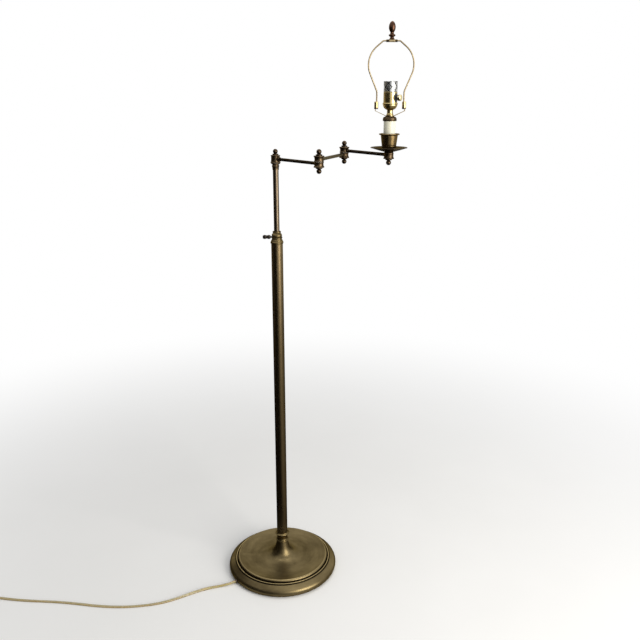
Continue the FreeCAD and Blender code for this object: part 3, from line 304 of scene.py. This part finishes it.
def plated(name, colour, tarnish, rough, marks=None, marked=(0.03, 0.03, 0.03)):
    """Polished or plated metal with a little tarnish. marks(tree) may draw lines, 1 in their middle."""
    m, tree, shader = material(name)
    point = object_point(tree)
    cloud = noise(tree, point, 30.0, detail=5.0, rough=0.6)
    fine = noise(tree, point, 420.0, rough=0.6)
    tone = weighted(tree, (cloud, 0.92), (fine, 0.08))
    mixed = blend_colours(tree, remap(tree, tone, 0.40, 0.68), colour, tarnish)
    height = fine
    depth = 0.00001
    if marks:
        drawn = marks(tree)
        mixed = blend_colours(tree, drawn, mixed, marked)
        height = maths(tree, "SUBTRACT", times(tree, fine, 0.1), drawn)
        depth = 0.0004
    tree.links.new(mixed, shader.inputs["Base Color"])
    shader.inputs["Metallic"].default_value = 1.0
    shader.inputs["Specular Tint"].default_value = (0.60, 0.58, 0.54, 1)
    tree.links.new(remap(tree, cloud, 0.35, 0.65, *rough), shader.inputs["Roughness"])
    bumped(tree, shader, height, 0.3, depth)
    return m


def moulded(name, colour, second, rough=0.45, scale=60.0, grain=0.04, sheen=0.0, subsurface=0.0):
    """Plastic, felt or fibre: two close colours, a soft texture and an even gloss."""
    m, tree, shader = material(name)
    point = object_point(tree)
    cloud = noise(tree, point, scale, detail=5.0, rough=0.6)
    fine = noise(tree, point, scale * 14, rough=0.7)
    mixed = blend_colours(tree, remap(tree, cloud, 0.35, 0.65), colour, second)
    tree.links.new(mixed, shader.inputs["Base Color"])
    dull = remap(tree, fine, 0.3, 0.7, rough * 0.85, min(rough * 1.15, 1.0))
    tree.links.new(dull, shader.inputs["Roughness"])
    shader.inputs["Sheen Weight"].default_value = sheen
    shader.inputs["Subsurface Weight"].default_value = subsurface
    bumped(tree, shader, fine, grain, 0.0005)
    return m


def gold_vinyl(name, tint, copper):
    """Clear gold vinyl over stranded copper: the strands show as slanting lines in the two lobes."""
    strands_per_metre = 520.0
    strands_round = 16.0
    m, tree, shader = material(name)
    u, v, _ = split(tree, node(tree, "ShaderNodeUVMap", uv_map="along").outputs[0])
    lobe = maths(tree, "ABSOLUTE", maths(tree, "COSINE", times(tree, u, 2 * math.pi)))
    slant = weighted(tree, (v, strands_per_metre), (u, strands_round))
    wave = maths(tree, "SINE", times(tree, slant, 2 * math.pi))
    strand = plus(tree, times(tree, wave, 0.5), 0.5)
    inside = remap(tree, lobe, 0.30, 0.62)
    wires = blend_colours(tree, times(tree, strand, 0.55), copper, scaled(copper, 0.45))
    cloud = noise(tree, object_point(tree), 45.0)
    jacket = blend_colours(tree, remap(tree, cloud, 0.35, 0.65), tint, scaled(tint, 0.82))
    colour = blend_colours(tree, times(tree, inside, 0.6), jacket, wires)
    tree.links.new(colour, shader.inputs["Base Color"])
    tree.links.new(remap(tree, cloud, 0.3, 0.7, 0.20, 0.32), shader.inputs["Roughness"])
    shader.inputs["Subsurface Weight"].default_value = 0.25
    shader.inputs["Subsurface Radius"].default_value = (0.004, 0.002, 0.0008)
    shader.inputs["Coat Weight"].default_value = 0.6
    shader.inputs["Coat Roughness"].default_value = 0.12
    return m


# Cord: one flat two-wire lead, from the rim's bushing to the plug

cord_w = 0.007
cord_t = 0.0040
exit_angle_deg = 214.5
exit_z = 0.0064
coil_centre = Vector((-0.806, -0.196, 0))
coil_inner_r = 0.028
coil_pitch = 0.0076
coil_turns = 3
coil_reversal = coil_turns + 0.25
coil_outer_r = coil_inner_r + coil_pitch * coil_reversal
rise_turns = 0.5
turn_steps = 16
layer_low = 0.0011 + cord_t / 2
layer_rise = cord_t + 0.0003
tail_back = 0.058
tail_out = 0.005
plug_z = 0.0072


def on_exit_line(radius, z):
    angle = math.radians(exit_angle_deg)
    return (radius * math.cos(angle), radius * math.sin(angle), z)


def coil_place(turn):
    """A point of the coil: three turns inwards on the floor, and as many outwards on top of them."""
    share = min(max((turn - coil_turns) / rise_turns, 0.0), 1.0)
    radius = coil_inner_r + coil_pitch * abs(turn - coil_reversal)
    angle = math.pi / 2 + 2 * math.pi * turn
    height = layer_low + layer_rise * (1 - math.cos(math.pi * share)) / 2
    return (coil_centre.x + radius * math.cos(angle), coil_centre.y + radius * math.sin(angle), height)


flat_z = cord_t / 2 + 0.0001
edge_z = 0.0036
exit_place = on_exit_line(0.147, exit_z)
coil_y = coil_centre.y + coil_outer_r
# Each point of the route with how far the flat cord is turned about its own line there, 90 on edge
floor_route = [
    (exit_place, 90),
    (on_exit_line(0.1685, exit_z), 88),
    ((-0.166, -0.1026, edge_z), 78),
    ((-0.215, -0.115, 0.0032), 40),
    ((-0.299, -0.1635, flat_z), 8),
    ((-0.354, -0.178, flat_z), -6),
    ((-0.416, -0.184, flat_z), 0),
    ((-0.480, -0.180, flat_z), 5),
    ((-0.543, -0.1685, flat_z), 0),
    ((-0.605, -0.1605, flat_z), -5),
    ((-0.666, -0.157, flat_z), 0),
    ((-0.719, -0.151, flat_z + 0.0002), 3),
    ((-0.764, coil_y, layer_low), 0),
]
coil_points = int((coil_turns * 2 + 0.25) * turn_steps) + 1
coil_route = [(coil_place(i / turn_steps), 0) for i in range(coil_points)]
tail_x = coil_centre.x - coil_outer_r
tail_end = (tail_x - tail_out, coil_centre.y - tail_back, plug_z)
tail_route = [
    ((tail_x + 0.0016, coil_centre.y - 0.024, layer_low + layer_rise), 0),
    ((tail_x - 0.0010, coil_centre.y - 0.042, 0.0070), 0),
    (tail_end, 0),
    ((tail_end[0] - 0.0017, tail_end[1] - 0.0068, plug_z), 0),
]
route = floor_route + coil_route + tail_route


def nurbs_line(points):
    """The smooth line that a NURBS spline draws with these control points."""
    curve = bpy.data.curves.new("cord_route", "CURVE")
    curve.dimensions = "3D"
    curve.resolution_u = 6
    spline = curve.splines.new("NURBS")
    spline.points.add(len(points) - 1)
    for point, place in zip(spline.points, points):
        point.co = (*place, 1)
    spline.order_u = 3
    spline.use_endpoint_u = True
    carrier = bpy.data.objects.new("cord_route", curve)
    mesh = bpy.data.meshes.new_from_object(carrier)
    line = [v.co.copy() for v in mesh.vertices]
    bpy.data.meshes.remove(mesh)
    bpy.data.objects.remove(carrier)
    bpy.data.curves.remove(curve)
    return line


def turns_along(line, control):
    """The cord's turn at each point of the line, eased from one control point to the next, and its length."""
    spans = [0.0]
    for a, b in zip(control, control[1:]):
        spans.append(spans[-1] + (Vector(b[0]) - Vector(a[0])).length)
    travelled, total = [0.0], 0.0
    for a, b in zip(line, line[1:]):
        total += (b - a).length
        travelled.append(total)
    turns = []
    for distance in travelled:
        here = distance / total * spans[-1]
        i = max(k for k in range(len(spans) - 1) if spans[k] <= here + 1e-9)
        share = (here - spans[i]) / max(spans[i + 1] - spans[i], 1e-9)
        share = min(max(share, 0.0), 1.0)
        share = share * share * (3 - 2 * share)
        turns.append(control[i][1] * (1 - share) + control[i + 1][1] * share)
    return turns, total


def lobed_section(width, thickness, sides):
    """A flat two-wire cord's outline: two round lobes with a groove between."""
    groove_depth = 0.34
    groove_width = 0.22
    lobe = thickness / 2
    offset = width / 2 - lobe
    outline = []
    for i in range(sides):
        angle = 2 * math.pi * i / sides
        x = math.cos(angle)
        y = math.sin(angle)
        across = x * (offset + lobe) if abs(x) < 0.02 else math.copysign(offset, x) + lobe * x
        outline.append((across, lobe * y * (1 - groove_depth * math.exp(-(x / groove_width) ** 2))))
    return outline


def linked(name, mesh, mat):
    """An object of this mesh with one material."""
    mesh.materials.append(mat)
    obj = bpy.data.objects.new(name, mesh)
    bpy.context.collection.objects.link(obj)
    return obj


def sweep(name, line, turns, section, mat):
    """A tube that carries a section along a line, its width level and then turned by the given degrees."""
    verts, faces, uvs = [], [], []
    count = len(section)
    length = 0.0
    for i, place in enumerate(line):
        ahead = line[min(i + 1, len(line) - 1)] - line[max(i - 1, 0)]
        along = ahead.normalized()
        across = along.cross(Vector((0, 0, 1))).normalized()
        up = across.cross(along)
        angle = math.radians(turns[i])
        side = across * math.cos(angle) + up * math.sin(angle)
        top = up * math.cos(angle) - across * math.sin(angle)
        length += (place - line[i - 1]).length if i else 0.0
        for j, (x, y) in enumerate(section):
            verts.append(place + side * x + top * y)
            uvs.append((j / count, length))
    for i in range(len(line) - 1):
        for j in range(count):
            k = (j + 1) % count
            faces.append((i * count + j, i * count + k, (i + 1) * count + k, (i + 1) * count + j))
    faces.append(tuple(range(count)))
    faces.append(tuple((len(line) - 1) * count + j for j in reversed(range(count))))
    mesh = bpy.data.meshes.new(name)
    mesh.from_pydata(verts, [], faces)
    layer = mesh.uv_layers.new(name="along")
    for face in mesh.polygons:
        face.use_smooth = True
        starts_over = any(uvs[mesh.loops[c].vertex_index][0] > 0.6 for c in face.loop_indices)
        for corner in face.loop_indices:
            u, v = uvs[mesh.loops[corner].vertex_index]
            layer.data[corner].uv = (1.0 if u == 0 and starts_over else u, v)
    return linked(name, mesh, mat)


cord_material = gold_vinyl("clear_gold_cord", (0.40, 0.33, 0.15), (0.44, 0.30, 0.13))
cord_line = nurbs_line([place for place, _ in route])
cord_turns, cord_length = turns_along(cord_line, route)
cord = sweep("cord", cord_line, cord_turns, lobed_section(cord_w, cord_t, 28), cord_material)


# Strap that ties the coil, in metres

strap_thick = 0.0008
strap_half_w = 0.0035
strap_slack = 0.0002
strap_corner = 0.16
strap_steps = 72
strap_edge = 0.0002


def strap_tie(mat):
    """A moulded strap round the coil's turns, where they run north and south: thin, flat and closed."""
    turns_there = [coil_inner_r + coil_pitch * abs(i + 0.75 - coil_reversal) for i in range(coil_turns * 2)]
    near = coil_centre.x + min(turns_there) - cord_w / 2
    far = coil_centre.x + max(turns_there) + cord_w / 2
    low = strap_slack
    high = layer_low + layer_rise + cord_t / 2 + strap_thick + strap_slack
    mid_x, mid_z = (near + far) / 2, (low + high) / 2
    half_x, half_z = (far - near) / 2 + strap_thick + strap_slack, (high - low) / 2
    verts, faces = [], []
    for i in range(strap_steps):
        angle = 2 * math.pi * i / strap_steps
        x = math.copysign(abs(math.cos(angle)) ** strap_corner, math.cos(angle))
        z = math.copysign(abs(math.sin(angle)) ** strap_corner, math.sin(angle))
        for inset, y in ((0, -strap_half_w), (0, strap_half_w), (strap_thick, strap_half_w),
                         (strap_thick, -strap_half_w)):
            verts.append((mid_x + x * (half_x - inset), coil_centre.y + y, mid_z + z * (half_z - inset)))
        for j in range(4):
            k = (j + 1) % 4
            ahead = (i + 1) % strap_steps
            faces.append((i * 4 + j, i * 4 + k, ahead * 4 + k, ahead * 4 + j))
    mesh = bpy.data.meshes.new("coil_tie")
    mesh.from_pydata(verts, [], faces)
    strap = linked("coil_tie", mesh, mat)
    bevel = strap.modifiers.new("soft_edges", "BEVEL")
    bevel.width = strap_edge
    bevel.segments = 2
    bevel.limit_method = "ANGLE"
    bevel.angle_limit = math.radians(50)
    return strap


# Stage

def seen_white(tree, dim, bright):
    """A strength that is bright for camera, mirror and glass rays, and dim for the light on things."""
    path = node(tree, "ShaderNodeLightPath")
    seen = maths(tree, "MAXIMUM", path.outputs["Is Camera Ray"], path.outputs["Is Glossy Ray"])
    seen = maths(tree, "MAXIMUM", seen, path.outputs["Is Transmission Ray"])
    return remap(tree, seen, 0.0, 1.0, dim, bright)


world = bpy.data.worlds.new("world")
bpy.context.scene.world = world
world.use_nodes = True
background = world.node_tree.nodes["Background"]
background.inputs["Color"].default_value = (1, 1, 1, 1)
world.node_tree.links.new(seen_white(world.node_tree, 0.42, 1.0), background.inputs["Strength"])

floor_half = 8.0
floor_fade_from = 0.35
floor_fade_to = 2.2


def pale_floor():
    """A pale matt floor that keeps the shadow near the object and fades to the white of the backdrop."""
    m, tree, shader = material("pale_floor")
    point = object_point(tree)
    tone = blend_colours(tree, noise(tree, point, 3.0, detail=3.0), (0.84, 0.84, 0.83), (0.89, 0.89, 0.88))
    tree.links.new(tone, shader.inputs["Base Color"])
    shader.inputs["Roughness"].default_value = 0.9
    shader.inputs["Specular IOR Level"].default_value = 0.0
    away = node(tree, "ShaderNodeVectorMath", {0: point}, operation="LENGTH").outputs["Value"]
    fade = node(tree, "ShaderNodeMapRange", {0: away, 1: floor_fade_from, 2: floor_fade_to},
                interpolation_type="SMOOTHSTEP").outputs[0]
    white = node(tree, "ShaderNodeEmission", {"Color": (1, 1, 1, 1), "Strength": seen_white(tree, 0.5, 1.0)})
    both = node(tree, "ShaderNodeMixShader", {0: fade, 1: shader.outputs[0], 2: white.outputs[0]})
    out = next(n for n in tree.nodes if n.type == "OUTPUT_MATERIAL")
    tree.links.new(both.outputs[0], out.inputs["Surface"])
    mesh = bpy.data.meshes.new("floor")
    corners = [(-floor_half, -floor_half, 0), (floor_half, -floor_half, 0), (floor_half, floor_half, 0),
               (-floor_half, floor_half, 0)]
    mesh.from_pydata(corners, [], [(0, 1, 2, 3)])
    floor = linked("floor", mesh, m)


def glossy_card(name, verts, faces, mat):
    """A card on the set that is seen only in the metal, as the room round the photographed object is."""
    mesh = bpy.data.meshes.new(name)
    mesh.from_pydata(verts, [], faces)
    card = linked(name, mesh, mat)
    card.visible_camera = False
    card.visible_diffuse = False
    card.visible_shadow = False
    card.visible_transmission = False


def matt(shader):
    shader.inputs["Roughness"].default_value = 1.0
    shader.inputs["Specular IOR Level"].default_value = 0.0


card_x = -1.5
card_near = -2.6
card_far = -0.5
card_top = 1.7
aside_far = 1.2
aside_shade = 6.0
front_end = -0.25
card_black = (0.010, 0.009, 0.008)
card_dark = (0.030, 0.027, 0.024)


def dark_card(name, a, b, shade=1.0):
    """An upright card over the floor line from a to b."""
    m, tree, shader = material(name)
    tone = noise(tree, object_point(tree), 1.0, detail=2.0)
    colour = blend_colours(tree, tone, scaled(card_black, shade), scaled(card_dark, shade))
    tree.links.new(colour, shader.inputs["Base Color"])
    matt(shader)
    glossy_card(name, [(*a, 0), (*b, 0), (*b, card_top), (*a, card_top)], [(0, 1, 2, 3)], m)


ring_inner = 0.185
ring_outer = 3.0
ring_steps = 64
ring_z = 0.0004
ring_dark_x = 0.02
ring_grey_x = 0.32
ring_grey = (0.24, 0.23, 0.20)


def floor_ring():
    """A ring on the floor round the base, seen only in the metal: dark to the left and grey to the right."""
    m, tree, shader = material("floor_ring")
    x = split(tree, object_point(tree))[0]
    tone = blend_colours(tree, remap(tree, x, ring_dark_x, ring_grey_x), card_black, ring_grey)
    tree.links.new(tone, shader.inputs["Base Color"])
    matt(shader)
    verts, faces = [], []
    for i in range(ring_steps):
        angle = 2 * math.pi * i / ring_steps
        for radius in (ring_inner, ring_outer):
            verts.append((radius * math.cos(angle), radius * math.sin(angle), ring_z))
        ahead = 2 * ((i + 1) % ring_steps)
        faces.append((2 * i, 2 * i + 1, ahead + 1, ahead))
    glossy_card("floor_ring", verts, faces, m)


pale_floor()
dark_card("card_left", (card_x, card_near), (card_x, card_far))
dark_card("card_aside", (card_x, card_far), (card_x, aside_far), aside_shade)
dark_card("card_front", (card_x, card_near), (front_end, card_near))
floor_ring()


# Light

light_target = (0.1, 0, 0.6)


def area_light(name, place, size, power, colour=(1, 1, 1)):
    light = bpy.data.lights.new(name, "AREA")
    light.shape = "RECTANGLE"
    light.size, light.size_y = size
    light.energy = power
    light.color = colour
    obj = bpy.data.objects.new(name, light)
    obj.location = place
    way = Vector(light_target) - Vector(place)
    obj.rotation_euler = way.to_track_quat("-Z", "Y").to_euler()
    bpy.context.collection.objects.link(obj)


area_light("window", (2.1, -1.9, 1.3), (1.9, 2.1), 92, (1.0, 0.97, 0.92))
area_light("top", (0.3, 0.4, 3.0), (1.6, 1.6), 20)


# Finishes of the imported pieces

brass = (0.190, 0.146, 0.072)
brass_dull = (0.078, 0.058, 0.028)
bronze = (0.120, 0.084, 0.046)
bronze_dull = (0.042, 0.028, 0.017)


def turned_bronze(name, centre):
    return patina_metal(name, centre, bronze, bronze_dull, rough=(0.24, 0.34), patch=40.0, lines=1200.0,
                        wear=1.0, grain=0.01)


finish = {
    "base": patina_metal("antique_brass_base", post, brass, brass_dull, rough=(0.33, 0.43), patch=9.0,
                         wear=0.5, drawn=base_step_shade_and_highlights),
    "tube": patina_metal("antique_brass_tube", post, (0.175, 0.129, 0.067), (0.118, 0.086, 0.044),
                         rough=(0.26, 0.32), lines=300.0, patch=18.0, grain=0.006),
    "pole": patina_metal("antique_brass_pole", post, (0.130, 0.100, 0.067), (0.092, 0.070, 0.046),
                         rough=(0.25, 0.31), lines=300.0, patch=18.0, grain=0.006),
    "collar": patina_metal("antique_brass_collar", post, (0.20, 0.150, 0.068), (0.085, 0.062, 0.028),
                           rough=(0.30, 0.40), lines=1100.0, patch=45.0, wear=1.0, grain=0.01),
    "post": turned_bronze("bronze_post", post),
    "ball": patina_metal("bronze_balls", head, (0.075, 0.052, 0.032), (0.026, 0.018, 0.011),
                         rough=(0.20, 0.30), lines=1200.0, patch=40.0, wear=0.5, grain=0.01),
    "elbow_a": turned_bronze("bronze_elbow_a", elbow_a),
    "elbow_b": turned_bronze("bronze_elbow_b", elbow_b),
    "head": turned_bronze("bronze_head", head),
    "finial": patina_metal("bronze_finial", head, (0.115, 0.060, 0.036), (0.028, 0.014, 0.010),
                           rough=(0.22, 0.36), lines=1200.0, patch=50.0, wear=2.0),
    "screw": patina_metal("bronze_screw", post, (0.060, 0.050, 0.040), (0.012, 0.010, 0.009),
                          rough=(0.22, 0.36), lines=1200.0, patch=50.0, wear=2.0),
    "cup": patina_metal("antique_brass_cup", head, (0.205, 0.140, 0.058), (0.080, 0.055, 0.024),
                        rough=(0.22, 0.32), lines=1000.0, patch=42.0, wear=1.0, grain=0.01),
    "pan": patina_metal("antique_brass_pan", head, (0.070, 0.053, 0.032), (0.032, 0.024, 0.015),
                        rough=(0.28, 0.40), lines=1000.0, patch=30.0, wear=1.5, grain=0.01),
    "arm_dark": patina_metal("bronze_arm", post, (0.040, 0.031, 0.022), (0.018, 0.014, 0.010),
                             rough=(0.26, 0.36), lines=500.0, patch=30.0, grain=0.008),
    "arm_light": patina_metal("antique_brass_arm", post, (0.160, 0.140, 0.101), (0.115, 0.100, 0.071),
                              rough=(0.27, 0.35), lines=500.0, patch=30.0, grain=0.008),
    "socket": plated("polished_socket_brass", (0.54, 0.43, 0.20), (0.36, 0.27, 0.11), (0.14, 0.24)),
    "harp": plated("harp_brass", (0.34, 0.27, 0.15), (0.23, 0.17, 0.09), (0.32, 0.40), crimps,
                   (0.06, 0.042, 0.02)),
    "ferrule": plated("ferrule_brass", (0.60, 0.47, 0.24), (0.36, 0.26, 0.11), (0.18, 0.28), ferrule_ends,
                      (0.05, 0.034, 0.016)),
    "knob": plated("knob_brass", (0.86, 0.77, 0.50), (0.70, 0.58, 0.30), (0.16, 0.26)),
    "silver": plated("silver_sleeve", (0.60, 0.61, 0.59), (0.42, 0.43, 0.42), (0.16, 0.28), crossed_lines),
    "contacts": plated("contact_brass", (0.70, 0.58, 0.32), (0.46, 0.36, 0.17), (0.20, 0.34), screw_thread,
                       (0.30, 0.22, 0.10)),
    "steel": plated("zinc_steel", (0.56, 0.56, 0.54), (0.38, 0.37, 0.34), (0.28, 0.42)),
    "iron": moulded("cast_iron", (0.075, 0.073, 0.070), (0.045, 0.043, 0.040), 0.72, 90.0, 0.5),
    "felt": moulded("green_felt", (0.055, 0.10, 0.055), (0.035, 0.070, 0.036), 0.95, 220.0, 0.9, sheen=0.6),
    "nylon": moulded("natural_nylon", (0.74, 0.72, 0.66), (0.66, 0.64, 0.57), 0.45, 70.0, 0.05,
                     subsurface=0.1),
    "ivory": moulded("ivory_sleeve", (0.74, 0.71, 0.56), (0.70, 0.66, 0.51), 0.42, 14.0, 0.005,
                     subsurface=0.05),
    "brown": moulded("brown_bushing", (0.055, 0.034, 0.020), (0.035, 0.022, 0.014), 0.5, 90.0, 0.1),
    "black": moulded("black_moulding", (0.018, 0.017, 0.016), (0.030, 0.028, 0.026), 0.42, 60.0, 0.08),
    "fibre": moulded("grey_fibre", (0.34, 0.29, 0.22), (0.26, 0.22, 0.16), 0.8, 120.0, 0.3),
    "plug": moulded("clear_gold_plug", (0.42, 0.29, 0.09), (0.34, 0.23, 0.07), 0.24, 30.0, 0.03,
                    subsurface=0.2),
    "blade": plated("plug_brass", (0.78, 0.66, 0.38), (0.58, 0.47, 0.25), (0.18, 0.30)),
    "lead": moulded("gold_lead", (0.50, 0.36, 0.12), (0.42, 0.29, 0.09), 0.3, 40.0, 0.03, subsurface=0.2),
}
wearing = {
    "base": ("base_shell",),
    "tube": ("outer_tube",),
    "pole": ("inner_pole",),
    "collar": ("tube_foot", "tube_collar"),
    "ball": ("post_cap", "elbow_a_finials", "elbow_b_finials", "head_finial"),
    "post": ("post_neck", "arm_1_root_hub"),
    "elbow_a": ("arm_1_tip_hub", "arm_2_root_hub"),
    "elbow_b": ("arm_2_tip_hub", "arm_3_root_hub"),
    "head": ("head_hub", "candle_cap"),
    "finial": ("shade_finial",),
    "screw": ("thumb_screw",),
    "cup": ("candle_cup",),
    "pan": ("drip_pan",),
    "arm_dark": ("arm_1_tube", "arm_3_tube"),
    "arm_light": ("arm_2_tube",),
    "socket": ("socket_cap", "socket_shell", "saddle_nut"),
    "harp": ("harp_wire", "harp_saddle", "harp_plate"),
    "ferrule": ("ferrule_left", "ferrule_right"),
    "knob": ("switch_knob",),
    "silver": ("shell_sleeve",),
    "contacts": ("socket_contacts",),
    "steel": ("base_lock_nut", "base_pipe", "post_pivot", "elbow_a_pivot", "elbow_b_pivot", "head_pipe"),
    "iron": ("base_weight",),
    "felt": ("base_felt",),
    "nylon": ("guide_bush", "pole_guide", "post_washer", "elbow_a_washer", "elbow_b_washer"),
    "ivory": ("candle_sleeve",),
    "brown": ("cord_bushing", "cord_tie"),
    "black": ("socket_body", "switch_boss"),
    "fibre": ("socket_liner",),
    "plug": ("plug_body",),
    "blade": ("plug_blades",),
    "lead": ("supply_lead", "socket_leads"),
}
for key, names in wearing.items():
    for name in names:
        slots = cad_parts[name].data.materials
        slots.clear()
        slots.append(finish[key])


# Cord and its tie ride on the base, in place of the imported cord pieces

tie = strap_tie(finish["brown"])
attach(tie, "base")
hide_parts("cord_tie")
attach(cord, "base")
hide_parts("cord_floor", "cord_coil")
